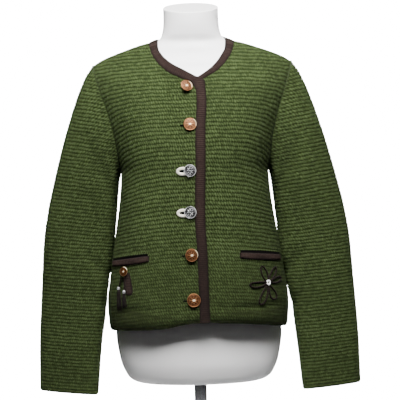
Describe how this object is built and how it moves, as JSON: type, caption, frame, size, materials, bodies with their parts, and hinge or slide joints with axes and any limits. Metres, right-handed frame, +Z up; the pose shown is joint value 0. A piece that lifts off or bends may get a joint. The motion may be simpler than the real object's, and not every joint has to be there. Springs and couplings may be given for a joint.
{
  "type": "cardigan on a dress form",
  "caption": "Garter-stitch knitted cardigan with bound neck and front edge, buttoned front, slit pockets and long sleeves, worn by a limbless dress form on a round base.",
  "frame": {"origin": "centre of the base's underside, on the floor", "axes": "+Z up, -Y towards the viewer of the front, +X to the wearer's left"},
  "size_m": [0.64, 0.32, 0.8999],
  "materials": {
    "green_yarn": "garter-stitch wool, matt with a soft nap",
    "brown_yarn": "knitted binding with fine ribs, matt",
    "cream_thread": "matt cotton thread",
    "copper": "aged copper, worn bright on its relief",
    "pewter": "aged pewter, dark in its hollows",
    "white_form": "smooth satin white shell",
    "chrome": "polished"
  },
  "bodies": {
    "root": {"front_right": "green_yarn", "front_left": "green_yarn", "back": "green_yarn", "sleeve_right": "green_yarn", "sleeve_left": "green_yarn", "neck_binding": "brown_yarn", "edge_binding": "brown_yarn", "pocket_band_right": "brown_yarn", "pocket_lip_right": "green_yarn", "pocket_band_left": "brown_yarn", "pocket_lip_left": "green_yarn", "front_button_1": "copper", "front_button_2": "copper", "front_button_3": "pewter", "front_button_4": "pewter", "front_button_5": "copper", "front_button_6": "copper", "pocket_button": "copper", "buttonhole_ring_3": "cream_thread", "buttonhole_ring_4": "cream_thread", "pocket_tab": "brown_yarn", "pocket_tassel_1": "brown_yarn", "pocket_tassel_2": "brown_yarn", "flower_bead": "cream_thread", "dress_form": "white_form", "pole": "chrome", "base_plate": "chrome"}
  },
  "joints": []
}
